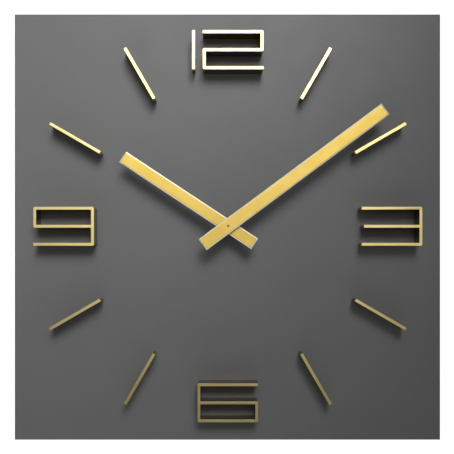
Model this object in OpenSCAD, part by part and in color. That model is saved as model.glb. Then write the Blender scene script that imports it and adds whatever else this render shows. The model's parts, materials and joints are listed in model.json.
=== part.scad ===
// Square wall clock with raised strip numerals and a quartz movement.
// The dial faces -Y and the wall is on the +Y side, with +Z up. The origin is the
// centre of the hanger's round keyhole, on the hanger plate's rear face.

/* [Panel] */
// Side of the square face panel
panel_size = 400; // [330:5:480]
// Thickness of the face panel
panel_t = 6; // [5:0.5:10]
// Bevel along the panel's front edges
panel_bevel = 0.8; // [0.2:0.1:2]

/* [Numerals] */
// Width of a numeral
numeral_w = 55.5; // [44:0.5:67]
// Distance between a numeral's horizontal bars
bar_pitch = 16.5; // [13:0.5:20]
// Thickness of the metal strip
strip_t = 2.6; // [2.2:0.1:3.5]
// Depth of the metal strip, from the panel to its front edge
strip_depth = 20; // [12:0.5:26]
// Radius of a numeral's outer corners
corner_r = 1.6; // [0.4:0.1:2]
// Gap between the 1 and the 2
digit_gap = 7.2; // [4:0.2:12]
// Amount by which the 3's middle bar is shorter
three_step = 2.2; // [0:0.1:6]
// Length of an hour marker
marker_l = 53.4; // [40:0.5:66]
// Thickness of an hour marker
marker_t = 2.75; // [2.2:0.05:3.5]
// Panel left bare outside the 12 and the 6
edge_margin = 20.6; // [10:0.2:30]
// Panel left bare outside the 3 and the 9
side_margin = 22; // [10:0.2:30]
// Radius of the pins that fix the strips
pin_r = 0.8; // [0.5:0.1:1]
// Depth of a pin in the strip and in the panel
pin_depth = 4; // [2:0.5:4.5]

/* [Hands] */
// Hour hand's angle, clockwise from 12
hour_angle = 303.4; // [0:0.1:360]
// Minute hand's angle, clockwise from 12
minute_angle = 53.4; // [0:0.1:360]
// Width of the hour hand
hour_hand_w = 11.6; // [9.6:0.1:14]
// Width of the minute hand
minute_hand_w = 12.4; // [8:0.1:15]
// Length of the hour hand behind the pivot
hour_tail = 29.4; // [12:0.2:36]
// Length of the minute hand behind the pivot
minute_tail = 28.6; // [12:0.2:36]
// Gap between the hour hand's tip and the 3 and the 9
hour_tip_gap = 7.5; // [2:0.5:30]
// Reach of the minute hand's tip past the numeral ring
minute_reach = 16.4; // [0:0.2:20]
// Thickness of a hand
hand_t = 1.8; // [1.4:0.1:2.4]
// Width of the bevel round a hand
hand_bevel = 1.1; // [0.4:0.1:2]
// Depth of the bevel round a hand
hand_bevel_d = 0.45; // [0.3:0.05:1.2]
// Gap between the strips' front edges and the hour hand
hour_hand_gap = 1; // [0.6:0.1:4]
// Gap between the two hands
hands_gap = 2.7; // [1.5:0.1:5]
// Wall of the collets that hold the hands
collet_wall = 1.5; // [1:0.1:2]

/* [Rear frame] */
// Width of a frame rail
rail_w = 30; // [28:1:40]
// Depth of a frame rail
rail_d = 20; // [18:0.5:30]
// Distance from the panel's edge to the frame
frame_inset = 12; // [4:1:30]
// Radius of a wall bumper
bumper_r = 5; // [3:0.5:8]
// Thickness of a wall bumper
bumper_t = 2; // [1:0.5:4]

/* [Hanger] */
// Radius of the round keyhole
hanger_hole_r = 4.5; // [3.5:0.1:5]
// Width of the keyhole's slot
hanger_slot_w = 4; // [3:0.1:5]
// Distance from the round hole's centre to the slot's end
hanger_slot_l = 9; // [6:0.5:10]
// Width of the hanger plate
hanger_w = 46; // [38:1:60]
// Height of the hanger plate
hanger_h = 24; // [22:0.5:26]
// Thickness of the hanger plate
hanger_t = 1.2; // [1:0.1:2]
// Room for the nail's head behind the plate
nail_room = 8; // [4:0.5:10]
// Radius of a hanger screw's shank
screw_r = 1.4; // [1:0.1:1.8]
// Length of a hanger screw
screw_l = 12; // [6:0.5:14]

/* [Movement] */
// Thickness of the gasket between case and panel
gasket_t = 0.8; // [0.4:0.1:2]
// Wall of the movement's case
case_wall = 1.5; // [1.2:0.1:2.5]
// Thickness of the rear cover
cover_t = 1.2; // [1:0.1:2]
// Radius of the case's corners
case_corner_r = 3; // [1:0.5:5]
// Radius of the threaded bushing
bushing_r = 4; // [3.8:0.1:5]
// Width of the nut across its flats
nut_w = 10; // [9.8:0.1:12]
// Thickness of the nut
nut_t = 2.4; // [1.5:0.1:4]
// Thickness of the washer
washer_t = 0.5; // [0.3:0.1:1]
// Thread left free in front of the nut
thread_free = 5; // [1:0.5:6]
// Radius of the hour pipe
pipe_r = 2.5; // [2.4:0.05:3]
// Radius of the minute tube
tube_r = 1.7; // [1.5:0.05:2]
// Radius of the hole through the minute tube
tube_hole_r = 1; // [0.85:0.05:1.2]
// Radius of the seconds arbor
second_r = 0.5; // [0.4:0.05:0.55]
// Radius of the other arbors
arbor_r = 0.4; // [0.3:0.05:0.5]
// Running clearance of an arbor in its bearing
fit = 0.05; // [0.02:0.01:0.09]
// Gap between pieces that turn past each other
play = 0.4; // [0.3:0.05:0.8]
// Thickness of a train wheel
wheel_t = 0.7; // [0.5:0.05:1]
// Thickness of a motion wheel
motion_t = 1.1; // [0.8:0.1:1.5]

/* [Gear train] */
// Teeth of the centre wheel
center_n = 64; // [54:1:76]
// Module of the centre wheel and the third pinion
center_m = 0.34; // [0.3:0.01:0.41]
// Teeth of the third wheel
third_n = 60; // [50:1:72]
// Teeth of the third and the second pinions
small_n = 8; // [7:1:10]
// Teeth of the second wheel
second_n = 60; // [50:1:66]
// Module of the second wheel and the fourth pinion
second_m = 0.3; // [0.26:0.01:0.33]
// Teeth of the fourth wheel
fourth_n = 50; // [42:1:54]
// Module of the fourth wheel and the rotor pinion
fourth_m = 0.25; // [0.22:0.01:0.27]
// Teeth of the fourth and the rotor pinions
fast_n = 10; // [9:1:12]
// Teeth of the cannon pinion and the setting pinion
cannon_n = 12; // [11:1:13]
// Teeth of the minute wheel
minute_n = 36; // [33:1:39]
// Module of the cannon pinion and the minute wheel
cannon_m = 0.5; // [0.46:0.01:0.6]
// Teeth of the minute wheel's own pinion
minute_pinion_n = 10; // [9:1:11]
// Teeth of the hour wheel
hour_n = 40; // [36:1:44]

/* [Setting knob] */
// Radius of the setting knob
knob_r = 5; // [4:0.25:6]
// Height of the setting knob
knob_h = 3; // [2:0.25:4]
// Radius of the setting knob's shaft
knob_shaft_r = 1.5; // [1.2:0.05:1.8]

/* [Battery] */
// Diameter of the battery
battery_d = 14.5; // [12:0.1:17.5]
// Length of the battery with its terminal
battery_l = 50.5; // [42:0.5:61]
// Room at each end of the battery for its contact
contact_room = 1.25; // [1.2:0.05:3]
// Gap between the battery and its bay
bay_gap = 0.9; // [0.5:0.1:2]
// Thickness of a contact strip
contact_t = 0.4; // [0.2:0.05:0.5]

/* [Hidden] */
$fn = 64;
MARKER_HOURS = [1, 2, 4, 5, 7, 8, 10, 11];

// Dial: distances from the shaft's axis
numeral_h = 2 * bar_pitch + strip_t;
ring_r = panel_size / 2 - edge_margin - numeral_h / 2;
side_r = panel_size / 2 - side_margin - numeral_w / 2;
twelve_w = strip_t + digit_gap + numeral_w;
one_at = [(strip_t - twelve_w) / 2, ring_r];
two_at = [(twelve_w - numeral_w) / 2, ring_r];
three_at = [side_r, 0];
six_at = [0, -ring_r];
nine_at = [-side_r, 0];

// Hands, whose depths count forwards from the panel's face
hour_tip = side_r - numeral_w / 2 - hour_tip_gap;
minute_tip = ring_r + minute_reach;
hour_back = -strip_depth - hour_hand_gap;
hour_front = hour_back - hand_t;
minute_back = hour_front - hands_gap;
minute_front = minute_back - hand_t;
hour_collet_l = 6;
minute_collet_end = hour_front - 0.5;
second_tip = minute_back + 0.5;
minute_face_t = 0.8;

// Rear frame and hanger
frame_half = panel_size / 2 - frame_inset;
back_y = panel_t + rail_d;
hanger_mid = frame_half - rail_w / 2;
hanger_up = hanger_mid - hanger_slot_l / 2;
hanger_fit = 0.2;
hanger_corner_r = 3;
hanger_screw_inset = 7;
hanger_screw_x = hanger_w / 2 - hanger_screw_inset;
screw_head_r = 2 * screw_r;
pocket_r = hanger_hole_r + 1.5;
bumper_at = frame_half - rail_w / 2;

// Grip round the setting knob
knob_notches = 12;
knob_notch_r = 0.55;

// Gears: addendum, dedendum, and tooth thickness at pitch, tip and root
WHEEL = [0.75, 1.15, 0.42, 0.20, 0.46];
PINION = [0.70, 1.25, 0.38, 0.22, 0.36];
function pitch_r(n, m) = n * m / 2;
function tip_r(n, m, form = WHEEL) = pitch_r(n, m) + form[0] * m;
function between(n_a, n_b, m) = (n_a + n_b) * m / 2;
function polar(r, a) = [r * cos(a), r * sin(a)];
// Phase of a gear in mesh with another one that lies at angle a from it
function mesh_phase(a, n, other_n, other_phase = 0) =
    a + 180 - 180 / n + (a - other_phase) * other_n / n;

// Module of the minute wheel's pinion, so that it reaches the hour wheel
hour_m = 2 * between(cannon_n, minute_n, cannon_m) / (minute_pinion_n + hour_n);

// Arbors, as x and z from the shaft's axis
THIRD_A = 180;
MINUTE_A = 0;
KNOB_A = 60;
FOURTH_A = 75;
ROTOR_A = 150;
third_at = polar(between(center_n, small_n, center_m), THIRD_A);
minute_at = polar(between(cannon_n, minute_n, cannon_m), MINUTE_A);
knob_at = minute_at + polar(between(cannon_n, minute_n, cannon_m), KNOB_A);
fourth_at = polar(between(second_n, fast_n, second_m), FOURTH_A);
rotor_at = fourth_at + polar(between(fourth_n, fast_n, fourth_m), ROTOR_A);
// Module of the third wheel that reaches the second pinion on the shaft's axis
third_mesh_m = 2 * norm(third_at) / (third_n + small_n);

// Depths inside the movement, counting backwards from the panel's face
case_y = panel_t + gasket_t;
in_y = case_y + case_wall;
hour_y = in_y + 1.5 * play;
minute_y = hour_y + motion_t + 3 * play;
minute_post_end = minute_y + motion_t + 2 * play;
center_y = minute_post_end + play;
second_pinion_y = center_y + wheel_t + 2 * play;
third_y = second_pinion_y + play;
bridge_y = third_y + wheel_t + 1.5 * play;
bridge_t = 0.8;
second_y = bridge_y + bridge_t + play;
fourth_y = second_y + wheel_t + 1.5 * play;
board_y = fourth_y + wheel_t + play;
board_t = 0.8;
board_h = 6.4;
cover_y = board_y + board_t + play;
cover_end = cover_y + cover_t;
pivot_depth = 0.6 * cover_t;
arbor_end = cover_y + pivot_depth - 0.2;
cannon_t = motion_t + play;

// Motor
magnet_r = 3;
rotor_hub_r = 0.9;
stator_t = 0.8;
arm_w = 1.8;
arm_z = rotor_at.y - 2;
stator_y = second_y;
stator_hole_r = magnet_r + play;
stator_ring_r = stator_hole_r + 1.2;
core_t = stator_t;
core_h = 3;
core_y = stator_y + stator_t;
coil_r = 2.3;
coil_y = core_y + core_t / 2;
coil_z = rotor_at.y + 3.1;
coil_x1 = rotor_at.x - stator_ring_r - 1.4;
bobbin_flange = 0.8;
bobbin_r = core_h / 2 + 0.4;

// Posts that carry the bridge: two beside the third wheel, of which the upper one stays
// below the stator's arm, and one below the minute wheel
post_r = 1.6;
post_gap = post_r + 0.9;
post_screw_r = 0.7;
post_screw_head_r = 1.4;
post_screw_l = 3;
post_screw_head_t = 0.7;
post_screw_slot_w = 0.35;
third_tip = tip_r(third_n, third_mesh_m);
minute_wheel_tip = tip_r(minute_n, cannon_m);
post_reach = third_tip + post_gap;
upper_post_z = arm_z - post_screw_head_r - 1.05;
POSTS = [third_at + [-sqrt(pow(post_reach, 2) - pow(upper_post_z, 2)), upper_post_z],
    third_at + polar(post_reach, 250),
    minute_at + polar(minute_wheel_tip + post_gap + 1.7, 262)];

// Case: inner limits, as x and z from the shaft's axis
in_x = max(battery_l / 2 + contact_room, third_tip - third_at.x + 1,
    post_r + 0.5 - POSTS[0].x, knob_at.x + tip_r(cannon_n, cannon_m) + 1);
board_z0 = knob_at.y + knob_shaft_r + 1.2;
board_z1 = board_z0 + board_h;
in_top = max(coil_z + coil_r + 1.2, rotor_at.y + stator_ring_r + 1, board_z1 + 1);
coil_x0 = -in_x + 2.5;
bay_top = min([for (p = POSTS) p.y]) - post_r - 1.3;
bay_wall = 1;
battery_z = bay_top - bay_gap - battery_d / 2;
bay_bottom = battery_z - battery_d / 2 - bay_gap;
battery_y = max(in_y + 0.3 + battery_d / 2, cover_end - battery_d / 2);
battery_x1 = in_x - contact_t - 0.3;
battery_x0 = battery_x1 - battery_l;
battery_tip_l = 1;
battery_tip_r = 2.75;
contact_half_h = 4;
spring_r = 3.5;
spring_tip_r = 2;
gasket_r = 12;
flange_r = 6;

// Bearing bosses in the case; the third arbor's hangs on a rib behind the hour wheel
third_boss_r = 1.2;
third_boss_y = hour_y + motion_t + play;
knob_boss_r = 2;

// Circuit board, beside the rotor and above the knob's shaft
board_x0 = fourth_at.x + tip_r(fourth_n, fourth_m) - 0.4;
board_x1 = in_x - 1.2;
board_post_r = 1.2;
chip_r = 2;
chip_t = 0.8;
crystal_l = 6;
crystal_r = 1;

// Tongues of the cover, whose hooks catch in windows in the case's sides
tongue_w = 6;
tongue_t = 0.9;
tongue_z = 4;
tongue_gap = 0.1;
hook_y = cover_y - 3.4;
hook_t = 1.2;
hook_out = 0.8;

function marker_point(hour, r) = polar(r, 90 - 30 * hour);
function digit_pins(at) = [for (k = [-1:1]) at + [0, k * bar_pitch]];
function one_pins() = [for (k = [-1, 1]) one_at + [0, 0.7 * k * bar_pitch]];
function marker_pins(hour) = [for (k = [-1, 1]) marker_point(hour, ring_r + k * marker_l / 3)];
all_numeral_pins = concat(one_pins(), digit_pins(two_at), digit_pins(three_at),
    digit_pins(six_at), digit_pins(nine_at));
all_marker_pins = [for (h = MARKER_HOURS) each marker_pins(h)];

// --- Building blocks -------------------------------------------------------

// Moves what is drawn about the shaft's axis and the panel's face to the origin
module in_place() translate([0, -back_y, -hanger_up]) children();

// Gives an outline in x and z its depth, from y0 back to y1
module slab(y0, y1) translate([0, y1, 0]) rotate([90, 0, 0]) linear_extrude(y1 - y0) children();

module disc(at, r, y0, y1) slab(y0, y1) translate(at) circle(r);

module cone(at, y0, r0, y1, r1)
    translate([at.x, y0, at.y]) rotate([-90, 0, 0]) cylinder(h = y1 - y0, r1 = r0, r2 = r1);

module rounded_rect(x0, z0, x1, z1, r) {
    translate([x0 + r, z0]) square([x1 - x0 - 2 * r, z1 - z0]);
    translate([x0, z0 + r]) square([x1 - x0, z1 - z0 - 2 * r]);
    for (x = [x0 + r, x1 - r], z = [z0 + r, z1 - r]) translate([x, z]) circle(r);
}

module rect(x0, z0, x1, z1) translate([x0, z0]) square([x1 - x0, z1 - z0]);

function tooth(n, m, form, a) = let (r = pitch_r(n, m), half = 180 / n) [
    polar(r - form[1] * m, a - form[4] * half), polar(r, a - form[2] * half),
    polar(r + form[0] * m, a - form[3] * half), polar(r + form[0] * m, a + form[3] * half),
    polar(r, a + form[2] * half), polar(r - form[1] * m, a + form[4] * half)];

module gear(at, n, m, y0, y1, phase = 0, form = WHEEL) slab(y0, y1) translate(at)
    polygon([for (k = [0:n - 1]) each tooth(n, m, form, phase + k * 360 / n)]);

module pinion(at, n, m, y0, y1, phase = 0) gear(at, n, m, y0, y1, phase, PINION);

// Bar with a bevelled front, pointing to an angle clockwise from 12
module hand_bar(tip, tail, w, y0, y1, angle) rotate([0, angle, 0]) hull() {
    translate([-w / 2, y0 + hand_bevel_d, -tail]) cube([w, y1 - y0 - hand_bevel_d, tip + tail]);
    translate([hand_bevel - w / 2, y0, hand_bevel - tail])
        cube([w - 2 * hand_bevel, y1 - y0, tip + tail - 2 * hand_bevel]);
}

module pins(points) for (p = points) disc(p, pin_r, -pin_depth, pin_depth);

// --- Numerals, as strips on a seven-bar grid --------------------------------
// t, m, b: top, middle and bottom bars; p, q: upper left and right; r, s: lower ones

function has(bars, bar) = len(search(bar, bars)) > 0;

// Takes the corner at x, z off to a round; sx and sz point out of the numeral
module corner_cut(x, z, sx, sz) translate([x - sx * corner_r, z - sz * corner_r]) difference() {
    scale([sx, sz]) square(corner_r + 1);
    circle(corner_r);
}

module numeral_outline(bars, step = 0) {
    x = numeral_w / 2;
    z = numeral_h / 2;
    m = strip_t / 2;
    difference() {
        union() {
            if (has(bars, "t")) rect(-x, z - strip_t, x, z);
            if (has(bars, "m")) rect(step - x, -m, x, m);
            if (has(bars, "b")) rect(-x, -z, x, strip_t - z);
            if (has(bars, "p")) rect(-x, -m, strip_t - x, z);
            if (has(bars, "q")) rect(x - strip_t, -m, x, z);
            if (has(bars, "r")) rect(-x, -z, strip_t - x, m);
            if (has(bars, "s")) rect(x - strip_t, -z, x, m);
        }
        if (has(bars, "p")) corner_cut(-x, z, -1, 1);
        if (has(bars, "q")) corner_cut(x, z, 1, 1);
        if (has(bars, "r")) corner_cut(-x, -z, -1, -1);
        if (has(bars, "s")) corner_cut(x, -z, 1, -1);
        if (has(bars, "p") && !has(bars, "r")) corner_cut(-x, -m, -1, -1);
        if (has(bars, "r") && !has(bars, "p")) corner_cut(-x, m, -1, 1);
        if (has(bars, "q") && !has(bars, "s")) corner_cut(x, -m, 1, -1);
        if (has(bars, "s") && !has(bars, "q")) corner_cut(x, m, 1, 1);
    }
}

module numeral(at, bars, step = 0) color("goldenrod") in_place() difference() {
    slab(-strip_depth, 0) translate(at) numeral_outline(bars, step);
    pins(digit_pins(at));
}

module numeral_one() color("goldenrod") in_place() difference() {
    slab(-strip_depth, 0) translate(one_at) square([strip_t, numeral_h], center = true);
    pins(one_pins());
}

module marker(hour) color("goldenrod") in_place() difference() {
    slab(-strip_depth, 0) translate(marker_point(hour, ring_r)) rotate(-30 * hour)
        square([marker_t, marker_l], center = true);
    pins(marker_pins(hour));
}

module numeral_pins() color("silver") in_place() pins(all_numeral_pins);

module marker_pins() color("silver") in_place() pins(all_marker_pins);

// --- Panel, frame and hanger ------------------------------------------------

module face_panel() color("dimgray") in_place() difference() {
    half = panel_size / 2;
    hull() {
        translate([-half, panel_bevel, -half])
            cube([panel_size, panel_t - panel_bevel, panel_size]);
        translate([panel_bevel - half, 0, panel_bevel - half])
            cube([panel_size - 2 * panel_bevel, panel_t, panel_size - 2 * panel_bevel]);
    }
    disc([0, 0], bushing_r + 0.15, -1, panel_t + 1);
    pins(all_numeral_pins);
    pins(all_marker_pins);
}

// Mitred rail; angle 0 is the top one
module frame_rail(angle) {
    far = frame_half;
    near = frame_half - rail_w;
    rotate([0, angle, 0]) slab(panel_t, back_y)
        polygon([[-far, far], [far, far], [near, near], [-near, near]]);
}

module keyhole(r, slot_w, grow, y0, y1) {
    disc([0, hanger_up], r, y0, y1);
    disc([0, hanger_up + hanger_slot_l + grow], slot_w / 2, y0, y1);
    slab(y0, y1) rect(-slot_w / 2, hanger_up, slot_w / 2, hanger_up + hanger_slot_l + grow);
}

module frame_rail_top() color("saddlebrown") in_place() difference() {
    frame_rail(0);
    slab(back_y - hanger_t, back_y + 1)
        rect(-hanger_w / 2 - hanger_fit, hanger_mid - hanger_h / 2 - hanger_fit,
            hanger_w / 2 + hanger_fit, hanger_mid + hanger_h / 2 + hanger_fit);
    keyhole(pocket_r, 2 * pocket_r, 0, back_y - hanger_t - nail_room, back_y);
    for (s = [-1, 1])
        disc([s * hanger_screw_x, hanger_mid], screw_r, back_y - screw_l, back_y);
}

module frame_rail_right() color("saddlebrown") in_place() frame_rail(90);

module frame_rail_bottom() color("saddlebrown") in_place() frame_rail(180);

module frame_rail_left() color("saddlebrown") in_place() frame_rail(270);

module hanger_plate() color("silver") in_place() difference() {
    slab(back_y - hanger_t, back_y) rounded_rect(-hanger_w / 2, hanger_mid - hanger_h / 2,
        hanger_w / 2, hanger_mid + hanger_h / 2, hanger_corner_r);
    keyhole(hanger_hole_r, hanger_slot_w, 0, back_y - hanger_t - 1, back_y + 1);
    for (s = [-1, 1]) hanger_screw([s * hanger_screw_x, hanger_mid]);
}

// Countersunk screw, flush with the plate
module hanger_screw(at) {
    disc(at, screw_r, back_y - screw_l, back_y - hanger_t);
    cone(at, back_y - hanger_t, screw_r, back_y, screw_head_r);
}

module hanger_screws() color("silver") in_place() difference() {
    for (s = [-1, 1]) hanger_screw([s * hanger_screw_x, hanger_mid]);
    for (s = [-1, 1], a = [0, 90]) slab(back_y - hanger_t / 2, back_y + 1)
        translate([s * hanger_screw_x, hanger_mid]) rotate(a)
            square([1.3 * screw_head_r, 0.45 * screw_r], center = true);
}

module wall_bumpers() color("black") in_place() for (x = [-1, 1], z = [-1, 1]) {
    disc([x * bumper_at, z * bumper_at], bumper_r, back_y, back_y + 0.75 * bumper_t);
    cone([x * bumper_at, z * bumper_at], back_y + 0.75 * bumper_t, bumper_r,
        back_y + bumper_t, 0.9 * bumper_r);
}

// --- Hands ------------------------------------------------------------------

module hour_hand() color("gold") in_place() difference() {
    hand_bar(hour_tip, hour_tail, hour_hand_w, hour_front, hour_back, hour_angle);
    disc([0, 0], pipe_r, hour_front - 1, hour_back + 1);
}

module hour_collet() color("gold") in_place() difference() {
    disc([0, 0], pipe_r + collet_wall, hour_back, hour_back + hour_collet_l);
    disc([0, 0], pipe_r, hour_back - 1, hour_back + hour_collet_l + 1);
}

module minute_hand() color("gold") in_place() difference() {
    hand_bar(minute_tip, minute_tail, minute_hand_w, minute_front, minute_back, minute_angle);
    disc([0, 0], tube_hole_r, minute_front - 1, minute_back + 1);
    disc([0, 0], tube_r, minute_front + minute_face_t, minute_back + 1);
}

module minute_collet() color("gold") in_place() difference() {
    disc([0, 0], tube_r + 0.8 * collet_wall, minute_back, minute_collet_end);
    disc([0, 0], tube_r, minute_back - 1, minute_collet_end + 1);
}

// --- Movement: case and shaft hardware --------------------------------------

module case_gasket() color("black") in_place() difference() {
    disc([0, 0], gasket_r, panel_t, case_y);
    disc([0, 0], bushing_r + 0.3, panel_t - 1, case_y + 1);
}

module shaft_washer() color("gold") in_place() difference() {
    disc([0, 0], nut_w / 2 + 0.8, -washer_t, 0);
    disc([0, 0], bushing_r + 0.15, -washer_t - 1, 1);
}

module shaft_nut() color("gold") in_place() difference() {
    slab(-washer_t - nut_t, -washer_t) circle(nut_w / sqrt(3), $fn = 6);
    disc([0, 0], bushing_r, -washer_t - nut_t - 1, 0);
}

module threaded_bushing() color("gold") in_place() difference() {
    union() {
        disc([0, 0], bushing_r, -washer_t - nut_t - thread_free, in_y);
        disc([0, 0], flange_r, case_y, in_y);
    }
    disc([0, 0], pipe_r + fit, -washer_t - nut_t - thread_free - 1, in_y + 1);
}

// Draws what is given on the case's right side, and mirrored on its left side
module both_sides() for (left = [0, 1]) mirror([left, 0, 0]) children();

module cover_tongue() {
    slab(hook_y, cover_y + 0.5) rect(in_x - tongue_gap - tongue_t, tongue_z - tongue_w / 2,
        in_x - tongue_gap, tongue_z + tongue_w / 2);
    slab(hook_y, hook_y + hook_t) rect(in_x - tongue_gap - tongue_t, tongue_z - tongue_w / 2,
        in_x + hook_out, tongue_z + tongue_w / 2);
}

module movement_case() color("black") in_place() difference() {
    union() {
        difference() {
            slab(case_y, cover_y) rounded_rect(-in_x - case_wall, bay_bottom - case_wall,
                in_x + case_wall, in_top + case_wall, case_corner_r);
            slab(in_y, cover_y + 1) rect(-in_x, bay_top + bay_wall, in_x, in_top);
            slab(in_y, cover_y + 1) rect(-in_x, bay_bottom, in_x, bay_top);
        }
        disc(minute_at, knob_shaft_r / 2, case_y + 0.5, minute_post_end);
        disc(third_at, third_boss_r, third_boss_y, center_y - 2 * play);
        slab(third_boss_y, center_y - 2 * play)
            rect(-in_x - 0.5, third_at.y - third_boss_r, third_at.x, third_at.y + third_boss_r);
        disc(knob_at, knob_boss_r, case_y + 0.5, minute_y - play);
        for (p = POSTS) disc(p, post_r, case_y + 0.5, bridge_y);
        for (x = [board_x0 + 2.5, board_x1 - 2])
            disc([x, board_z1 - 1.3], board_post_r, case_y + 0.5, board_y);
    }
    disc([0, 0], flange_r, case_y - 1, in_y + 1);
    disc(third_at, arbor_r + fit, third_boss_y - 1, center_y);
    disc(knob_at, knob_shaft_r / 2 + fit, in_y, minute_y);
    for (p = POSTS) disc(p, post_screw_r, in_y + 1, bridge_y + 1);
    both_sides() slab(hook_y - tongue_gap, hook_y + hook_t + tongue_gap)
        rect(in_x - 1, tongue_z - tongue_w / 2 - 2 * tongue_gap,
            in_x + case_wall + 1, tongue_z + tongue_w / 2 + 2 * tongue_gap);
}

module movement_cover() color("black") in_place() difference() {
    union() {
        slab(cover_y, cover_end) rounded_rect(-in_x - case_wall, bay_top + 0.1,
            in_x + case_wall, in_top + case_wall, case_corner_r);
        both_sides() cover_tongue();
    }
    disc(knob_at, knob_shaft_r + fit, cover_y - 1, cover_end + 1);
    disc([0, 0], second_r + fit, cover_y - 1, cover_y + pivot_depth);
    for (p = [fourth_at, rotor_at]) disc(p, arbor_r + fit, cover_y - 1, cover_y + pivot_depth);
}

module train_bridge() color("white") in_place() difference() {
    slab(bridge_y, bridge_y + bridge_t) hull()
        for (p = concat(POSTS, [rotor_at, fourth_at])) translate(p) circle(post_r, $fn = 32);
    disc([0, 0], second_r + fit, bridge_y - 1, bridge_y + bridge_t + 1);
    for (p = [third_at, fourth_at, rotor_at])
        disc(p, arbor_r + fit, bridge_y - 1, bridge_y + bridge_t + 1);
    for (p = POSTS) disc(p, post_screw_r, bridge_y - 1, bridge_y + bridge_t + 1);
}

module bridge_screws() color("silver") in_place() for (p = POSTS) difference() {
    union() {
        disc(p, post_screw_r, bridge_y - post_screw_l, bridge_y + bridge_t);
        disc(p, post_screw_head_r, bridge_y + bridge_t,
            bridge_y + bridge_t + post_screw_head_t);
    }
    slab(bridge_y + bridge_t + 0.4, bridge_y + bridge_t + 1) translate(p)
        square([2 * post_screw_head_r + 0.2, post_screw_slot_w], center = true);
}

// --- Movement: motion work ---------------------------------------------------

module hour_wheel() color("white") in_place() difference() {
    union() {
        gear([0, 0], hour_n, hour_m, hour_y, hour_y + motion_t,
            mesh_phase(180 + MINUTE_A, hour_n, minute_pinion_n));
        disc([0, 0], pipe_r, hour_front + 0.4, hour_y + 0.5);
    }
    disc([0, 0], tube_r + fit, hour_front - 1, hour_y + motion_t + 1);
}

module cannon_pinion() color("white") in_place() difference() {
    union() {
        pinion([0, 0], cannon_n, cannon_m, minute_y - play / 2, minute_y - play / 2 + cannon_t);
        disc([0, 0], tube_r, minute_front + minute_face_t, center_y + wheel_t + play / 2);
    }
    disc([0, 0], tube_hole_r, minute_front, center_y + wheel_t + play);
}

module center_wheel() color("white") in_place() difference() {
    gear([0, 0], center_n, center_m, center_y, center_y + wheel_t);
    disc([0, 0], tube_r, center_y - 1, center_y + wheel_t + 1);
}

module minute_wheel() color("white") in_place() difference() {
    union() {
        gear(minute_at, minute_n, cannon_m, minute_y, minute_y + motion_t,
            mesh_phase(MINUTE_A, minute_n, cannon_n));
        pinion(minute_at, minute_pinion_n, hour_m, hour_y - play / 2, minute_y + 0.2);
    }
    disc(minute_at, knob_shaft_r / 2 + fit, hour_y - 1, minute_y + motion_t + 1);
}

module setting_knob() color("white") in_place() {
    pinion(knob_at, cannon_n, cannon_m, minute_y - play / 2, minute_y - play / 2 + cannon_t,
        mesh_phase(KNOB_A, cannon_n, minute_n, mesh_phase(MINUTE_A, minute_n, cannon_n)));
    disc(knob_at, knob_shaft_r / 2, in_y + play, minute_y);
    disc(knob_at, knob_shaft_r, minute_y, cover_end + play + 0.2);
    slab(cover_end + play, cover_end + play + knob_h) translate(knob_at) difference() {
        circle(knob_r);
        for (k = [1:knob_notches]) rotate(k * 360 / knob_notches)
            translate([knob_r, 0]) circle(knob_notch_r, $fn = 16);
    }
}

// --- Movement: going train ----------------------------------------------------

module third_wheel() color("white") in_place() {
    pinion(third_at, small_n, center_m, center_y - play, third_y + 0.2,
        mesh_phase(THIRD_A, small_n, center_n));
    gear(third_at, third_n, third_mesh_m, third_y, third_y + wheel_t);
    disc(third_at, arbor_r, third_boss_y + play / 2, bridge_y + bridge_t);
}

module second_pinion() color("white") in_place() difference() {
    pinion([0, 0], small_n, third_mesh_m, second_pinion_y, third_y + wheel_t + play / 2,
        mesh_phase(THIRD_A + 180, small_n, third_n));
    disc([0, 0], second_r, second_pinion_y - 1, bridge_y);
}

module second_wheel() color("white") in_place() difference() {
    gear([0, 0], second_n, second_m, second_y, second_y + wheel_t);
    disc([0, 0], second_r, second_y - 1, second_y + wheel_t + 1);
}

module second_arbor() color("silver") in_place() disc([0, 0], second_r, second_tip, arbor_end);

module fourth_wheel() color("white") in_place() {
    pinion(fourth_at, fast_n, second_m, second_y - play / 4, fourth_y + 0.1,
        mesh_phase(FOURTH_A, fast_n, second_n));
    gear(fourth_at, fourth_n, fourth_m, fourth_y, fourth_y + wheel_t);
    disc(fourth_at, arbor_r, bridge_y, arbor_end);
}

module rotor_pinion() color("white") in_place() {
    pinion(rotor_at, fast_n, fourth_m, fourth_y - play / 2, fourth_y + wheel_t + play / 2,
        mesh_phase(ROTOR_A, fast_n, fourth_n));
    disc(rotor_at, rotor_hub_r, second_y, fourth_y - play / 2);
    disc(rotor_at, arbor_r, bridge_y, arbor_end);
}

module rotor_magnet() color("dimgray") in_place() difference() {
    disc(rotor_at, magnet_r, second_y, second_y + stator_t);
    disc(rotor_at, rotor_hub_r, second_y - 1, second_y + stator_t + 1);
}

// --- Movement: motor and electrics ---------------------------------------------

// The stator's two arms run to the two ends of the coil's core
module stator() color("silver") in_place() difference() {
    slab(stator_y, stator_y + stator_t) {
        translate(rotor_at) circle(stator_ring_r);
        rect(coil_x1 + 0.2, coil_z - core_h / 2, rotor_at.x, coil_z + 0.5);
        rect(coil_x0 - arm_w, arm_z, rotor_at.x, arm_z + arm_w);
        rect(coil_x0 - arm_w, arm_z, coil_x0 - 0.2, coil_z + core_h / 2);
    }
    disc(rotor_at, stator_hole_r, stator_y - 1, stator_y + stator_t + 1);
}

module coil_core() color("silver") in_place()
    slab(core_y, core_y + core_t)
        rect(coil_x0 - arm_w, coil_z - core_h / 2, coil_x1 + arm_w, coil_z + core_h / 2);

// Turned piece along x, at the coil's place
module coil_tube(x0, x1, r)
    translate([x0, coil_y, coil_z]) rotate([0, 90, 0]) cylinder(h = x1 - x0, r = r);

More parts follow.
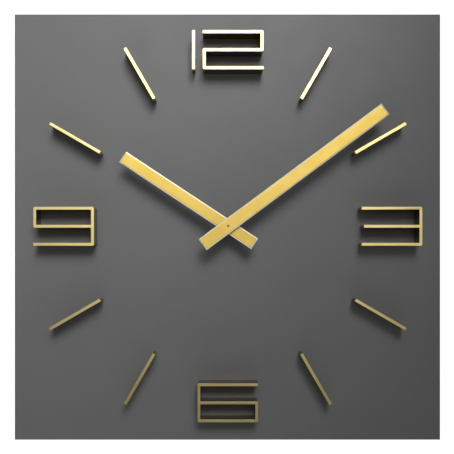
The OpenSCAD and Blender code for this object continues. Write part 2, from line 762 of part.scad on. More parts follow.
module core_hole() translate([coil_x0 - 2, core_y, coil_z - core_h / 2])
    cube([coil_x1 - coil_x0 + 4, core_t, core_h]);

module coil_bobbin() color("ivory") in_place() difference() {
    union() {
        coil_tube(coil_x0, coil_x1, bobbin_r);
        coil_tube(coil_x0, coil_x0 + bobbin_flange, coil_r);
        coil_tube(coil_x1 - bobbin_flange, coil_x1, coil_r);
    }
    core_hole();
}

module coil_winding() color("chocolate") in_place() difference() {
    coil_tube(coil_x0 + bobbin_flange, coil_x1 - bobbin_flange, coil_r - 0.15);
    coil_tube(coil_x0, coil_x1, bobbin_r);
}

module circuit_board() color("darkgreen") in_place()
    slab(board_y, board_y + board_t) rect(board_x0, board_z0, board_x1, board_z1);

module circuit_chip() color("black") in_place()
    disc([board_x1 - chip_r - 3, board_z0 + chip_r + 0.3], chip_r, board_y - chip_t, board_y);

module quartz_crystal() color("silver") in_place()
    translate([board_x0 + 1.5, board_y - crystal_r, board_z0 + crystal_r + 0.6])
        rotate([0, 90, 0]) cylinder(h = crystal_l, r = crystal_r);

module contact_plus() color("silver") in_place()
    slab(in_y + 1, cover_y)
        rect(in_x - contact_t, battery_z - contact_half_h, in_x, battery_z + contact_half_h);

module contact_minus() color("silver") in_place() {
    slab(in_y + 1, cover_y)
        rect(-in_x, battery_z - contact_half_h, contact_t - in_x, battery_z + contact_half_h);
    translate([contact_t - in_x, battery_y, battery_z]) rotate([0, 90, 0])
        cylinder(h = max(battery_x0 - 0.3 + in_x - contact_t, 0.2), r1 = spring_r, r2 = spring_tip_r);
}

module battery() color("slateblue") in_place()
    translate([battery_x0, battery_y, battery_z]) rotate([0, 90, 0]) {
        cylinder(h = battery_l - battery_tip_l, d = battery_d);
        cylinder(h = battery_l, r = battery_tip_r);
    }

face_panel();
frame_rail_top();
frame_rail_bottom();
frame_rail_left();
frame_rail_right();
hanger_plate();
hanger_screws();
wall_bumpers();
numeral_one();
numeral(two_at, "tqmrb");  // numeral_two
numeral(three_at, "tqmsb", three_step);  // numeral_three
numeral(six_at, "tpmrsb");  // numeral_six
numeral(nine_at, "tpqmsb");  // numeral_nine
for (hour = MARKER_HOURS) marker(hour);
numeral_pins();
marker_pins();
hour_hand();
hour_collet();
minute_hand();
minute_collet();
case_gasket();
shaft_washer();
shaft_nut();
threaded_bushing();
movement_case();
movement_cover();
train_bridge();
bridge_screws();
hour_wheel();
cannon_pinion();
center_wheel();
minute_wheel();
third_wheel();
second_pinion();
second_wheel();
second_arbor();
fourth_wheel();
rotor_pinion();
rotor_magnet();
stator();
coil_core();
coil_bobbin();
coil_winding();
circuit_board();
circuit_chip();
quartz_crystal();
contact_plus();
contact_minus();
battery();
setting_knob();
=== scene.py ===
"""Looks of a square wall clock with raised gold strip numerals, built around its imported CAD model.

Metres, +Z up. The dial faces -Y and the wall would be on the +Y side.
"""
import json
import math

import bmesh
import bpy
from mathutils import Matrix, Vector


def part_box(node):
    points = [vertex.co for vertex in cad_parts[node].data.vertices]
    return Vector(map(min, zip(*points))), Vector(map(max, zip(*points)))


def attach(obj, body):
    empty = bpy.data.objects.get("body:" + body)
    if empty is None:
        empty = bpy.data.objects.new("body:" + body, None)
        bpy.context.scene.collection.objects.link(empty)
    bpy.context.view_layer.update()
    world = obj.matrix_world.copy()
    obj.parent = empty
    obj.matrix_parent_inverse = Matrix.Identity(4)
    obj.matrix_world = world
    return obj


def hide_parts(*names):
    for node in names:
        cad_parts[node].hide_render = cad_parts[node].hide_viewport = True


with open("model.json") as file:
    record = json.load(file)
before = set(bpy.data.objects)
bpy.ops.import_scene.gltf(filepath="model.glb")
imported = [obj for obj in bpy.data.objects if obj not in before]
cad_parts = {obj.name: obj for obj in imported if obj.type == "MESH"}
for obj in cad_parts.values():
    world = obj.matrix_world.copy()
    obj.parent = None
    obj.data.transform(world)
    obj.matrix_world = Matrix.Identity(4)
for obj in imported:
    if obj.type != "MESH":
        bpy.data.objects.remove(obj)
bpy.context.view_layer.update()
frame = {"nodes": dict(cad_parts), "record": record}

MM = 0.001
BODY_OF = {
    node: body for body, nodes in frame["record"]["behaviour"]["bodies"].items() for node in nodes
}
SLOT_OF = {part["node"]: part["material_slot"] for part in frame["record"]["subparts"]}

# The dial's own frame: the shaft's axis and the panel's front face
PANEL_LOW, PANEL_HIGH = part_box("face_panel")
DIAL = Vector(((PANEL_LOW.x + PANEL_HIGH.x) / 2, PANEL_LOW.y, (PANEL_LOW.z + PANEL_HIGH.z) / 2))
PANEL_BACK = PANEL_HIGH.y

# Where the hands point at rest, in degrees clockwise from 12
HOUR_HAND_ANGLE = 303.4
MINUTE_HAND_ANGLE = 53.4

# The strips are as wide as the 1, which is a single one
ONE_LOW, ONE_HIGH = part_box("numeral_one")
STRIP = round(ONE_HIGH.x - ONE_LOW.x, 5)
STRIP_ROUNDING = 0.28 * MM
HAND_ROUNDING = 0.12 * MM
JOINT_LINE_WIDTH = 0.16 * MM
JOINT_LINE_DEPTH = 0.5 * MM

UP, RIGHT, FORWARD = Vector((0, 0, 1)), Vector((1, 0, 0)), Vector((0, -1, 0))


# --- Node materials ---------------------------------------------------------------


class Finish:
    """One procedural material: a Principled shader and short calls for the nodes that feed it."""

    def __init__(self, name, **constants):
        self.material = bpy.data.materials.new(name)
        self.material.use_nodes = True
        self.tree = self.material.node_tree
        self.shader = self.tree.nodes["Principled BSDF"]
        for socket, value in constants.items():
            self.put(self.shader.inputs[socket.replace("_", " ")], value)

    def put(self, socket, value):
        """Links another node's output to a socket, or sets a plain value on it."""
        if isinstance(value, bpy.types.NodeSocket):
            self.tree.links.new(value, socket)
        elif isinstance(value, tuple) and len(value) == 3 and socket.type == "RGBA":
            socket.default_value = (*value, 1)
        else:
            socket.default_value = value

    def node(self, kind, inputs, **settings):
        node = self.tree.nodes.new("ShaderNode" + kind)
        for name, value in settings.items():
            setattr(node, name, value)
        for name, value in inputs.items():
            self.put(node.inputs[name], value)
        return node

    def place(self, stretch=(1, 1, 1)):
        """The surface's own coordinates in metres; small factors in stretch make long marks."""
        source = self.node("TexCoord", {}).outputs["Object"]
        return self.node("Mapping", {"Vector": source, "Scale": stretch}).outputs[0]

    def grain_place(self, along, across):
        """Coordinates that run along and across each strip or hand."""
        source = self.node("UVMap", {}, uv_map="grain").outputs[0]
        return self.node("Mapping", {"Vector": source, "Scale": (along, across, 1)}).outputs[0]

    def axis(self, letter):
        """One of the surface's own coordinates, in metres."""
        source = self.node("TexCoord", {}).outputs["Object"]
        return self.node("SeparateXYZ", {"Vector": source}).outputs[letter]

    def facing(self):
        """1 on faces that look out of the dial, 0 on those at right angles to it."""
        source = self.node("TexCoord", {}).outputs["Normal"]
        toward_wall = self.node("SeparateXYZ", {"Vector": source}).outputs["Y"]
        return self.math("MULTIPLY", toward_wall, -1.0)

    def noise(self, vector, scale, detail=3, rough=0.5, distortion=0):
        inputs = {
            "Vector": vector, "Scale": scale, "Detail": detail,
            "Roughness": rough, "Distortion": distortion,
        }
        return self.node("TexNoise", inputs).outputs["Fac"]

    def cell_borders(self, vector, scale):
        """The distance to the nearest border of a pattern of cells."""
        inputs = {"Vector": vector, "Scale": scale}
        return self.node("TexVoronoi", inputs, feature="DISTANCE_TO_EDGE").outputs["Distance"]

    def remap(self, value, from_low, from_high, to_low=0, to_high=1):
        inputs = {
            "Value": value, "From Min": from_low, "From Max": from_high,
            "To Min": to_low, "To Max": to_high,
        }
        return self.node("MapRange", inputs, clamp=True).outputs["Result"]

    def spread(self, noise, to_low=0, to_high=1):
        """Goes from one value to the other over the range that most of a noise lies in."""
        return self.remap(noise, 0.3, 0.7, to_low, to_high)

    def math(self, operation, first, second=0.0):
        node = self.node("Math", {}, operation=operation)
        self.put(node.inputs[0], first)
        self.put(node.inputs[1], second)
        return node.outputs[0]

    def blend(self, amount, first, second):
        """Goes from the first colour to the second as amount goes from 0 to 1."""
        node = self.node("Mix", {}, data_type="RGBA", clamp_factor=True)
        self.put(node.inputs["Factor"], amount)
        self.put(node.inputs[6], first)
        self.put(node.inputs[7], second)
        return node.outputs[2]

    def edges(self, radius):
        """1 along edges, 0 on flat faces: how far the normal leans from that of a rounded edge."""
        normal = self.node("NewGeometry", {}).outputs["Normal"]
        rounded = self.node("Bevel", {"Radius": radius}, samples=6).outputs[0]
        node = self.node("VectorMath", {}, operation="DOT_PRODUCT")
        self.put(node.inputs[0], normal)
        self.put(node.inputs[1], rounded)
        return self.remap(node.outputs["Value"], 0.98, 0.75)

    def wear(self, radius, place, scale, low, high):
        """1 where an edge is rubbed: the edges, in patches where a noise is above low."""
        patches = self.remap(self.noise(place, scale, 4, 0.7), low, high)
        return self.math("MULTIPLY", self.edges(radius), patches)

    def bump(self, height, distance, strength, normal=None):
        inputs = {"Height": height, "Distance": distance, "Strength": strength}
        if normal is not None:
            inputs["Normal"] = normal
        return self.node("Bump", inputs).outputs[0]

    def finish(self, color, roughness, normal):
        for socket, value in (("Base Color", color), ("Roughness", roughness), ("Normal", normal)):
            self.put(self.shader.inputs[socket], value)
        return self.material


def scaled(color, factor):
    return tuple(min(1, channel * factor) for channel in color)


def panel_lacquer():
    """Dark grey satin lacquer over fibreboard, which shows bare at the back."""
    f = Finish("panel_lacquer", Specular_IOR_Level=0.35, Coat_Weight=0.08, Coat_Roughness=0.3)
    place = f.place()
    clouds = f.noise(place, 9, 4, 0.55)
    grains = f.noise(place, 2600, 2, 0.6)
    lacquer = f.blend(f.spread(clouds), (0.132, 0.132, 0.133), (0.146, 0.145, 0.145))
    lacquer = f.blend(f.remap(grains, 0.35, 0.75, 0, 0.35), lacquer, (0.195, 0.194, 0.192))
    worn = f.wear(0.5 * MM, place, 90, 0.5, 0.75)
    lacquer = f.blend(f.math("MULTIPLY", worn, 0.4), lacquer, (0.3, 0.29, 0.28))
    fibres = f.noise(f.place((1, 1, 0.4)), 900, 6, 0.75, 1.5)
    board = f.blend(f.remap(fibres, 0.3, 0.72), (0.17, 0.098, 0.052), (0.40, 0.265, 0.155))
    overspray = f.remap(f.noise(place, 160, 3, 0.6), 0.2, 0.8, -0.35 * MM, 0.1 * MM)
    depth = f.math("ADD", f.axis("Y"), overspray)
    bare = f.remap(depth, PANEL_BACK - 0.35 * MM, PANEL_BACK - 0.2 * MM)
    satin = f.spread(f.noise(place, 45, 5, 0.65), 0.42, 0.5)
    rubbed = f.remap(f.noise(place, 700, 2, 0.5), 0.35, 0.65, -0.03, 0.03)
    dull = f.remap(bare, 0, 1, 0, 0.4)
    rough = f.math("ADD", f.math("ADD", satin, rubbed), dull)
    peel = f.bump(f.noise(place, 650, 2, 0.5), 0.02 * MM, 0.35)
    nap = f.bump(f.math("MULTIPLY", fibres, bare), 0.12 * MM, 0.6, peel)
    return f.finish(f.blend(bare, lacquer, board), rough, nap)


# Painted shade: the dark gold of the strips' and hands' sides
SIDE_SHADE_GOLD = (0.17, 0.135, 0.055)
# Painted highlight: the pale gold of the bevels
BEVEL_HIGHLIGHT_GOLD = (1.0, 0.94, 0.72)
RUBBED_GOLD = (0.98, 0.9, 0.66)


def brushed_gold(name, pale, deep, smoothest, roughest, mark):
    """Gold anodised aluminium with fine drawn lines along it.

    Its bevels carry a painted highlight: they are pale, smooth and less metallic. Its sides carry
    painted shade: a darker, smoother gold. Its edges are rubbed. mark is the lines' depth.
    """
    f = Finish(name, Metallic=1.0)
    lines = f.noise(f.grain_place(40, 5200), 1, 3, 0.6)
    streaks = f.noise(f.grain_place(14, 700), 1, 2, 0.5)
    place = f.place()
    clouds = f.noise(place, 60, 3, 0.5)
    color = f.blend(f.spread(clouds), deep, pale)
    color = f.blend(f.remap(lines, 0.25, 0.7, 0, 0.35), color, scaled(deep, 0.8))

    # Facing is 1 on the front, 0.93 on the hands' bevels and 0 on the sides
    facing = f.facing()
    # Painted shade: side is 1 on faces at right angles to the dial, which get a darker gold
    side = f.remap(facing, 0.75, 0.45)
    # Painted highlight: bevel is 1 where the facing is about 0.9, on bevels, which get a pale gold
    bevel = f.math("MULTIPLY", f.remap(facing, 0.985, 0.95), f.remap(facing, 0.7, 0.88))
    color = f.blend(bevel, color, BEVEL_HIGHLIGHT_GOLD)
    rubbed = f.wear(0.25 * MM, place, 260, 0.42, 0.65)
    color = f.blend(f.math("MULTIPLY", rubbed, 0.4), color, RUBBED_GOLD)
    # Painted shade on the sides: their colour is a dark gold
    color = f.blend(side, color, f.blend(f.spread(clouds), SIDE_SHADE_GOLD, scaled(SIDE_SHADE_GOLD, 1.3)))

    grain = f.math("ADD", f.math("MULTIPLY", lines, 0.5), f.math("MULTIPLY", streaks, 0.5))
    smoother = f.math("MULTIPLY", f.math("MAXIMUM", side, bevel), 0.14)
    rough = f.math("SUBTRACT", f.spread(grain, smoothest, roughest), smoother)
    # Painted highlight: the bevels are made far less metallic, so they look bright from every side
    f.put(f.shader.inputs["Metallic"], f.remap(bevel, 0, 1, 1, 0.25))
    return f.finish(color, rough, f.bump(lines, mark, 0.5))


def plastic(name, base, flecks, rough, grain, texture, **constants):
    """Moulded plastic with the fine spark-eroded texture of its mould, scuffed along edges.

    grain is how deep that texture is, in millimetres, and texture is its scale.
    """
    f = Finish(name, **constants)
    place = f.place()
    clouds = f.noise(place, 70, 3, 0.5)
    skin = f.noise(place, texture, 3, 0.6)
    color = f.blend(f.spread(clouds), base, scaled(base, 1.18))
    color = f.blend(f.remap(skin, 0.4, 0.8, 0, 0.3), color, flecks)
    scuffs = f.wear(0.4 * MM, place, 240, 0.4, 0.7)
    color = f.blend(f.math("MULTIPLY", scuffs, 0.45), color, flecks)
    roughness = f.spread(f.noise(place, 180, 4, 0.6), rough - 0.06, rough + 0.07)
    return f.finish(color, roughness, f.bump(skin, grain * MM, 0.5))


def metal(name, base, tint, rough, stretch, scale, mark=0.01):
    """Bare or plated metal with tool marks, a little tarnish and bright rubbed edges.

    A small factor in stretch draws the marks out along its axis; mark is their depth in mm.
    """
    f = Finish(name, Metallic=1.0)
    place = f.place()
    marks = f.noise(f.place(stretch), scale, 3, 0.6)
    clouds = f.noise(place, 130, 4, 0.6)
    color = f.blend(f.remap(clouds, 0.35, 0.7, 0, 0.25), base, tint)
    color = f.blend(f.remap(marks, 0.3, 0.75, 0, 0.25), color, scaled(base, 0.7))
    bright = f.math("MULTIPLY", f.edges(0.2 * MM), f.remap(clouds, 0.35, 0.6))
    color = f.blend(f.math("MULTIPLY", bright, 0.5), color, scaled(base, 1.25))
    roughness = f.spread(clouds, rough - 0.06, rough + 0.1)
    return f.finish(color, roughness, f.bump(marks, mark * MM, 0.5))


def wood(name, along):
    """Sanded softwood whose grain runs along the given axis."""
    f = Finish(name, Specular_IOR_Level=0.35)
    across = {"X": "Z", "Z": "X"}[along]
    long = 0.035

    def drawn(lengthwise, crosswise):
        """Coordinates with one factor along the grain and another across it."""
        return f.place(tuple(lengthwise if axis == along else crosswise for axis in "XYZ"))

    sway = f.noise(drawn(0.6 * long, 0.6), 60, 3, 0.5)
    rings = f.node("TexWave", {
        "Vector": drawn(long, 1), "Scale": 62, "Distortion": 6, "Detail": 3, "Detail Scale": 1.2,
        "Detail Roughness": 0.55, "Phase Offset": f.math("MULTIPLY", sway, 9),
    }, wave_type="BANDS", bands_direction=across, wave_profile="SAW").outputs["Fac"]
    fibres = f.noise(drawn(long, 1.6), 1500, 4, 0.65)
    pores = f.remap(f.noise(drawn(1.6 * long, 1), 2100, 2, 0.5), 0.62, 0.74)
    color = f.blend(f.remap(rings, 0.25, 1), (0.66, 0.46, 0.26), (0.50, 0.29, 0.13))
    color = f.blend(f.remap(fibres, 0.3, 0.75, 0, 0.5), color, (0.74, 0.56, 0.36))
    color = f.blend(f.math("MULTIPLY", pores, 0.55), color, (0.30, 0.165, 0.075))
    color = f.blend(f.remap(sway, 0.45, 0.75, 0, 0.35), color, (0.46, 0.30, 0.16))
    dirt = f.wear(0.8 * MM, f.place(), 120, 0.4, 0.7)
    color = f.blend(f.math("MULTIPLY", dirt, 0.3), color, (0.78, 0.62, 0.42))
    roughness = f.spread(fibres, 0.5, 0.68)
    height = f.math("SUBTRACT", fibres, pores)
    return f.finish(color, roughness, f.bump(height, 0.06 * MM, 0.5))


def battery_print(name):
    """Printed sleeve: a dark body with a pale band at the positive end and bare steel end caps."""
    low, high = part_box("battery")
    f = Finish(name)
    x = f.axis("X")
    place = f.place()

    def from_tip(start, end):
        """0 to 1 between two distances, in millimetres, from the positive end."""
        return f.remap(x, high.x - start * MM, high.x - end * MM)

    def mottled(scale, detail, rough, first, second):
        return f.blend(f.spread(f.noise(place, scale, detail, rough)), first, second)

    line = f.math("MULTIPLY", from_tip(14.6, 14.5), from_tip(13.4, 13.5))
    printed = f.math("MAXIMUM", from_tip(12.2, 12.05), line)
    caps = f.math("MAXIMUM", from_tip(1.7, 1.6), f.remap(x, low.x + 0.5 * MM, low.x + 0.4 * MM))
    body = mottled(50, 3, 0.5, (0.030, 0.042, 0.075), (0.04, 0.055, 0.095))
    gold = mottled(90, 3, 0.5, (0.62, 0.42, 0.2), (0.72, 0.52, 0.27))
    steel = mottled(400, 4, 0.6, (0.48, 0.48, 0.5), (0.62, 0.62, 0.64))
    color = f.blend(printed, body, gold)
    scratches = f.remap(f.noise(f.place((0.2, 1, 1)), 1800, 3, 0.7), 0.62, 0.75, 0, 0.35)
    color = f.blend(scratches, color, (0.55, 0.55, 0.57))
    color = f.blend(caps, color, steel)
    metallic = f.math("MAXIMUM", caps, f.math("MULTIPLY", printed, 0.8))
    f.put(f.shader.inputs["Metallic"], metallic)
    roughness = f.spread(f.noise(place, 220, 4, 0.6), 0.24, 0.4)
    return f.finish(color, roughness, f.bump(f.noise(place, 500, 2, 0.5), 0.02 * MM, 0.4))


def board_mask(name):
    """Solder mask with copper tracks just showing through it."""
    f = Finish(name, Coat_Weight=0.4, Coat_Roughness=0.12)
    place = f.place()
    tracks = f.remap(f.cell_borders(place, 420), 0.08, 0.11, 1, 0)
    weave = f.noise(f.place((1, 1, 0.3)), 3000, 2, 0.5)
    color = f.blend(f.spread(weave), (0.012, 0.10, 0.04), (0.02, 0.14, 0.06))
    color = f.blend(f.math("MULTIPLY", tracks, 0.7), color, (0.05, 0.24, 0.10))
    roughness = f.spread(f.noise(place, 300, 3, 0.5), 0.28, 0.42)
    return f.finish(color, roughness, f.bump(tracks, 0.03 * MM, 0.6))


def copper_wire(name):
    """Enamelled copper wire in close turns round the coil's axis, which runs along X."""
    f = Finish(name, Metallic=0.9, Coat_Weight=0.6, Coat_Roughness=0.15)
    place = f.place()
    turns = f.noise(f.place((1, 0.02, 0.02)), 6000, 1, 0.4)
    clouds = f.noise(place, 500, 3, 0.6)
    color = f.blend(f.spread(clouds), (0.44, 0.15, 0.055), (0.62, 0.26, 0.11))
    roughness = f.spread(clouds, 0.25, 0.4)
    return f.finish(color, roughness, f.bump(turns, 0.04 * MM, 0.8))


def floor_paint():
    """Plain pale paint for the floor, which isn't part of the clock."""
    f = Finish("floor_paint")
    place = f.place()
    clouds = f.noise(place, 1.5, 4, 0.5)
    color = f.blend(f.spread(clouds), (0.74, 0.74, 0.73), (0.79, 0.79, 0.78))
    waves = f.bump(f.noise(place, 60, 3), 0.3 * MM, 0.3)
    return f.finish(color, f.spread(clouds, 0.55, 0.65), waves)


ZINC = (0.60, 0.61, 0.64)
STEEL = (0.50, 0.50, 0.52)
BRASS = (0.80, 0.58, 0.26)
PLASTICS = {  # colour, flecks, roughness, depth of the texture in millimetres, its scale
    "bumper_rubber": ((0.022, 0.022, 0.022), (0.08, 0.08, 0.078), 0.78, 0.05, 900),
    "case_plastic": ((0.021, 0.021, 0.022), (0.075, 0.075, 0.075), 0.5, 0.035, 1500),
    "bobbin_plastic": ((0.66, 0.60, 0.44), (0.78, 0.74, 0.60), 0.4, 0.01, 2500),
    "chip_black": ((0.016, 0.016, 0.018), (0.05, 0.05, 0.05), 0.32, 0.06, 700),
    "knob_plastic": ((0.74, 0.73, 0.69), (0.60, 0.58, 0.53), 0.38, 0.015, 1800),
}
METALS = {  # colour, tarnish, roughness, stretch of the marks, their scale, their depth
    "hanger_steel": (ZINC, (0.52, 0.50, 0.44), 0.34, (1, 1, 1), 500),
    "pin_steel": (STEEL, (0.40, 0.36, 0.30), 0.32, (1, 0.05, 1), 900),
    "collet_brass": (BRASS, (0.50, 0.30, 0.12), 0.26, (0.1, 1, 0.1), 4000),
    "shaft_brass": (BRASS, (0.50, 0.30, 0.12), 0.3, (0.1, 1, 0.1), 4000),
    "magnet_grey": ((0.16, 0.16, 0.17), (0.22, 0.17, 0.13), 0.55, (1, 1, 1), 2500, 0.03),
    "motor_steel": (STEEL, (0.36, 0.33, 0.30), 0.36, (0.05, 1, 1), 1500),
    "crystal_can": ((0.66, 0.66, 0.68), (0.52, 0.48, 0.40), 0.24, (0.05, 1, 1), 2000),
    "contact_nickel": ((0.66, 0.63, 0.57), (0.48, 0.42, 0.32), 0.28, (1, 1, 0.06), 1600),
}
MATERIALS = {
    "panel_lacquer": panel_lacquer(),
    "strip_gold": brushed_gold(
        "strip_gold", pale=(0.97, 0.82, 0.38), deep=(0.93, 0.75, 0.30),
        smoothest=0.30, roughest=0.38, mark=0.004 * MM,
    ),
    "hand_gold": brushed_gold(
        "hand_gold", pale=(0.76, 0.575, 0.16), deep=(0.70, 0.485, 0.11),
        smoothest=0.44, roughest=0.56, mark=0.006 * MM,
    ),
    "frame_wood": wood("frame_wood", "X"),
    "frame_wood_upright": wood("frame_wood_upright", "Z"),
    "gear_plastic": plastic(
        "gear_plastic", (0.76, 0.75, 0.70), (0.86, 0.85, 0.80), 0.42, 0.01, 2500,
        Subsurface_Weight=0.06, Subsurface_Scale=0.0006,
    ),
    "winding_copper": copper_wire("winding_copper"),
    "board_green": board_mask("board_green"),
    "battery_sleeve": battery_print("battery_sleeve"),
}
for name, look in PLASTICS.items():
    MATERIALS[name] = plastic(name, *look)
for name, look in METALS.items():
    MATERIALS[name] = metal(name, *look)


# --- Meshes -----------------------------------------------------------------------


def dress(piece, material):
    piece.data.materials.clear()
    piece.data.materials.append(MATERIALS[material])


def welded(node):
    """A copy of a CAD node's mesh with its corners joined and its flat faces whole."""
    mesh = bmesh.new()
    mesh.from_mesh(frame["nodes"][node].data)
    bmesh.ops.remove_doubles(mesh, verts=mesh.verts, dist=0.002 * MM)
    flat = math.radians(0.5)
    bmesh.ops.dissolve_limit(mesh, angle_limit=flat, verts=mesh.verts, edges=mesh.edges)
    return mesh


def round_edges(mesh, width, steps, sharper_than):
    """Rounds every convex or concave edge that is sharper than the given angle."""
    limit = math.radians(sharper_than)
    sharp = [e for e in mesh.edges if e.is_manifold and e.calc_face_angle() > limit]
    bmesh.ops.bevel(mesh, geom=sharp, offset=width, offset_type="OFFSET", segments=steps,
                    profile=0.5, affect="EDGES", clamp_overlap=True)


def shade(piece, angle=38):
    """Smooth shading that keeps flat faces flat."""
    for polygon in piece.data.polygons:
        polygon.use_smooth = True
    piece.data.set_sharp_from_angle(angle=math.radians(angle))
    weighted = piece.modifiers.new("flat_faces", "WEIGHTED_NORMAL")
    weighted.keep_sharp = True


def new_piece(name, mesh):
    data = bpy.data.meshes.new(name)
    mesh.to_mesh(data)
    mesh.free()
    piece = bpy.data.objects.new(name, data)
    bpy.context.scene.collection.objects.link(piece)
    return piece


def stand_in(piece, node, material=None):
    """Makes a piece take a CAD node's place, on its body and in its finish."""
    slot = SLOT_OF[node]
    dress(piece, material or slot)
    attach(piece, BODY_OF[node])
    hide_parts(node)


def rounded_copy(node, name, width, steps, sharper_than=25):
    """A new piece: a CAD node again, with its sharp edges rounded."""
    mesh = welded(node)
    round_edges(mesh, width, steps, sharper_than)
    return new_piece(name, mesh)


def softened(node, width, steps=2, material=None):
    """Puts a rounded copy in a CAD node's place."""
    piece = rounded_copy(node, node + "_rounded", width, steps)
    shade(piece)
    stand_in(piece, node, material)


def cut(piece, cutter):
    """Takes the cutter's solid out of a piece and removes the cutter."""
    modifier = piece.modifiers.new("cut", "BOOLEAN")
    modifier.operation = "DIFFERENCE"
    modifier.solver = "EXACT"
    modifier.object = cutter
    depsgraph = bpy.context.evaluated_depsgraph_get()
    result = bpy.data.meshes.new_from_object(piece.evaluated_get(depsgraph))
    piece.modifiers.clear()
    piece.data = result
    bpy.data.objects.remove(cutter)


def blade(mesh, centre, direction, length):
    """A thin block across a strip's front, for a joint line."""
    across = Vector((-direction.z, 0, direction.x))
    edges = (direction * length, FORWARD * JOINT_LINE_DEPTH, across * JOINT_LINE_WIDTH)
    axes = Matrix(edges).transposed()
    matrix = Matrix.Translation(centre) @ axes.to_4x4()
    bmesh.ops.create_cube(mesh, size=1, matrix=matrix)


def add_grain(piece, along_of):
    """Writes each face's coordinates along and across its strip; along_of gives the direction."""
    layer = piece.data.uv_layers.new(name="grain")
    for polygon in piece.data.polygons:
        along = along_of(piece.data, polygon)
        across = Vector((-along.z, 0, along.x))
        for corner in polygon.loop_indices:
            point = piece.data.vertices[piece.data.loops[corner].vertex_index].co - DIAL
            layer.data[corner].uv = (point.dot(along), point.dot(across) + point.y)


def bar_direction(data, polygon):
    """Strips run level or upright; a face belongs to the one that it is longer along."""
    points = [data.vertices[v].co for v in polygon.vertices]
    width = max(p.x for p in points) - min(p.x for p in points)
    height = max(p.z for p in points) - min(p.z for p in points)
    return RIGHT if width >= height else UP


def clock_direction(degrees):
    """The direction at an angle clockwise from 12."""
    angle = math.radians(degrees)
    return Vector((math.sin(angle), 0, math.cos(angle)))


# --- Numerals, markers and hands --------------------------------------------------

# Joints of each numeral: mitres at its corners, and butts where a bar meets an upright.
# A corner is named by its side and its bar.
MITRES = {
    "numeral_two": [("right", "top"), ("right", "middle"), ("left", "middle"), ("left", "bottom")],
    "numeral_three": [("right", "top"), ("right", "bottom")],
    "numeral_six": [("left", "top"), ("left", "bottom"), ("right", "bottom"), ("right", "middle")],
    "numeral_nine": [("left", "top"), ("left", "middle"), ("right", "top"), ("right", "bottom")],
}
BUTTS = {"numeral_three": "right", "numeral_six": "left", "numeral_nine": "right"}
OUTWARD = {"left": -1, "right": 1, "bottom": -1, "top": 1}
# At a middle corner, outward is away from its upright
MIDDLE_OUT = {
    ("numeral_two", "right"): -1, ("numeral_two", "left"): 1,
    ("numeral_six", "right"): 1, ("numeral_nine", "left"): -1,
}


def joint_blades(node):
    """Cutters for a numeral's joint lines."""
    low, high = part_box(node)
    middle = (low.z + high.z) / 2
    x_of = {"left": low.x + STRIP / 2, "right": high.x - STRIP / 2}
    z_of = {"bottom": low.z + STRIP / 2, "middle": middle, "top": high.z - STRIP / 2}
    mesh = bmesh.new()
    for side, bar in MITRES[node]:
        upward = OUTWARD.get(bar) or MIDDLE_OUT[node, side]
        direction = Vector((OUTWARD[side], 0, upward)).normalized()
        blade(mesh, Vector((x_of[side], low.y, z_of[bar])), direction, 2 * STRIP)
    if node in BUTTS:
        side = BUTTS[node]
        x = x_of[side] - OUTWARD[side] * STRIP / 2
        blade(mesh, Vector((x, low.y, middle)), UP, STRIP * 0.98)
    return new_piece("blades", mesh)


def gild(piece, node, along_of, smooth_under=38):
    """Draws the lines along a strip or hand and puts it in its CAD node's place."""
    add_grain(piece, along_of)
    shade(piece, smooth_under)
    stand_in(piece, node)


def strip_numeral(node):
    piece = rounded_copy(node, node + "_strips", STRIP_ROUNDING, 3)
    if node in MITRES:
        cut(piece, joint_blades(node))
    gild(piece, node, bar_direction)


def strip_marker(hour):
    node = f"marker_{hour}"
    direction = clock_direction(30 * hour)
    piece = rounded_copy(node, node + "_strip", STRIP_ROUNDING, 3)
    gild(piece, node, lambda data, polygon: direction)


def hand(node, degrees):
    direction = clock_direction(degrees)
    piece = rounded_copy(node, node + "_blade", HAND_ROUNDING, 2, sharper_than=15)
    gild(piece, node, lambda data, polygon: direction, smooth_under=30)


for numeral in ("numeral_one", "numeral_two", "numeral_three", "numeral_six", "numeral_nine"):
    strip_numeral(numeral)
for hour in (1, 2, 4, 5, 7, 8, 10, 11):
    strip_marker(hour)
hand("hour_hand", HOUR_HAND_ANGLE)
hand("minute_hand", MINUTE_HAND_ANGLE)


# --- Panel, rear frame and movement -----------------------------------------------

softened("face_panel", 0.25 * MM)
for rail in ("frame_rail_top", "frame_rail_bottom"):
    softened(rail, 0.7 * MM, 3)
for rail in ("frame_rail_left", "frame_rail_right"):
    softened(rail, 0.7 * MM, 3, "frame_wood_upright")
softened("hanger_plate", 0.2 * MM)
softened("wall_bumpers", 0.5 * MM, 4)
for node in ("hour_collet", "minute_collet", "shaft_washer", "shaft_nut", "threaded_bushing"):
    softened(node, 0.15 * MM)
softened("movement_case", 0.35 * MM)
softened("movement_cover", 0.3 * MM)
softened("setting_knob", 0.12 * MM, 1)
softened("battery", 0.3 * MM, 3)

for node, piece in frame["nodes"].items():
    if not piece.hide_render:
        dress(piece, SLOT_OF[node])


# --- Stage, light and camera ------------------------------------------------------


def stage_floor(drop, radius):
    """A round floor, drop below the dial's centre."""
    mesh = bmesh.new()
    bmesh.ops.create_circle(mesh, cap_ends=True, segments=96, radius=radius,
                            matrix=Matrix.Translation((DIAL.x, DIAL.y, DIAL.z - drop)))
    floor = new_piece("floor", mesh)
    floor.data.materials.append(floor_paint())


def softbox(name, offset, size, watts, spread, aim=(0, 0, 0)):
    """A rectangular soft light; offset and aim, the point it faces, are from the dial's centre."""
    light = bpy.data.lights.new(name, "AREA")
    light.shape = "RECTANGLE"
    light.size, light.size_y = size
    light.energy = watts
    light.spread = math.radians(spread)
    lamp = bpy.data.objects.new(name, light)
    lamp.location = DIAL + Vector(offset)
    lamp.rotation_mode = "QUATERNION"
    lamp.rotation_quaternion = (Vector(offset) - Vector(aim)).to_track_quat("Z", "Y")
    lamp.visible_camera = False
    bpy.context.scene.collection.objects.link(lamp)


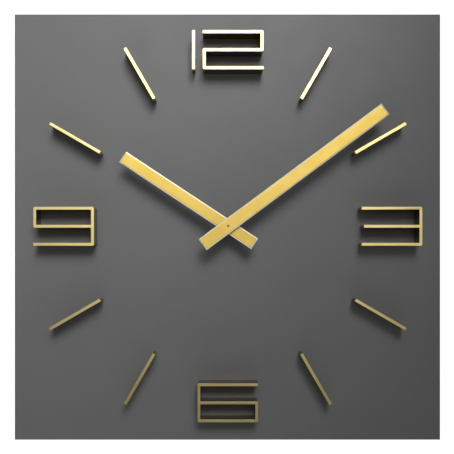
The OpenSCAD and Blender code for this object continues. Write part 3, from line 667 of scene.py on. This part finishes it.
def studio_air(front, side, back):
    """A plain white background for the camera, whose light changes from front to back.

    The clock is lit and reflects front from before the dial, side from beside it, back from behind.
    """
    world = bpy.data.worlds.new("studio")
    bpy.context.scene.world = world
    world.use_nodes = True
    tree = world.node_tree
    ray = tree.nodes.new("ShaderNodeTexCoord")
    split = tree.nodes.new("ShaderNodeSeparateXYZ")
    tree.links.new(ray.outputs["Generated"], split.inputs[0])

    def step(from_low, from_high, to_low, to_high):
        node = tree.nodes.new("ShaderNodeMapRange")
        node.interpolation_type = "SMOOTHSTEP"
        limits = {"From Min": from_low, "From Max": from_high, "To Min": to_low, "To Max": to_high}
        for name, value in limits.items():
            node.inputs[name].default_value = value
        tree.links.new(split.outputs["Y"], node.inputs["Value"])
        return node.outputs["Result"]

    # A direction's Y is -1 in front of the dial and 1 behind it
    total = tree.nodes.new("ShaderNodeMath")
    tree.links.new(step(0.0, 0.35, front, side), total.inputs[0])
    tree.links.new(step(0.72, 0.88, 0, back - side), total.inputs[1])
    path = tree.nodes.new("ShaderNodeLightPath")
    seen = tree.nodes.new("ShaderNodeMix")
    tree.links.new(path.outputs["Is Camera Ray"], seen.inputs["Factor"])
    tree.links.new(total.outputs[0], seen.inputs["A"])
    seen.inputs["B"].default_value = back
    tree.links.new(seen.outputs["Result"], tree.nodes["Background"].inputs["Strength"])
    tree.nodes["Background"].inputs["Color"].default_value = (1, 1, 1, 1)


stage_floor(drop=1.5, radius=2.4)
studio_air(front=0.006, side=0.4, back=1.1)
softbox("key", offset=(-0.03, -1.2, 0.95), size=(0.8, 1.1), watts=2.9, spread=46,
        aim=(-0.26, 0, 0.32))
softbox("fill", offset=(0.1, -1.9, 0.14), size=(1.5, 0.6), watts=2.7, spread=180)
softbox("glint", offset=(0, -1.2, -0.95), size=(1.8, 0.15), watts=1.0, spread=180)
softbox("rear", offset=(-0.9, 1.3, 0.9), size=(0.8, 0.8), watts=14, spread=120)
softbox("floor_light", offset=(0, -0.4, -0.5), size=(2.4, 2.4), watts=9, spread=180,
        aim=(0, -0.4, -1.5))

# The camera looks straight at the dial, from a little left of its centre and a little below it
CAMERA_OFFSET = Vector((-0.0117, -0.755, -0.0281))
camera = bpy.data.objects.new("camera", bpy.data.cameras.new("camera"))
camera.location = DIAL + CAMERA_OFFSET
camera.rotation_euler = (math.radians(90), 0, 0)
camera.data.sensor_width = 36
camera.data.lens = 63.7
camera.data.shift_x = 0.0264
camera.data.shift_y = 0.066
camera.data.clip_start = 0.05
bpy.context.scene.collection.objects.link(camera)
bpy.context.scene.camera = camera
bpy.context.scene.view_settings.view_transform = "Standard"
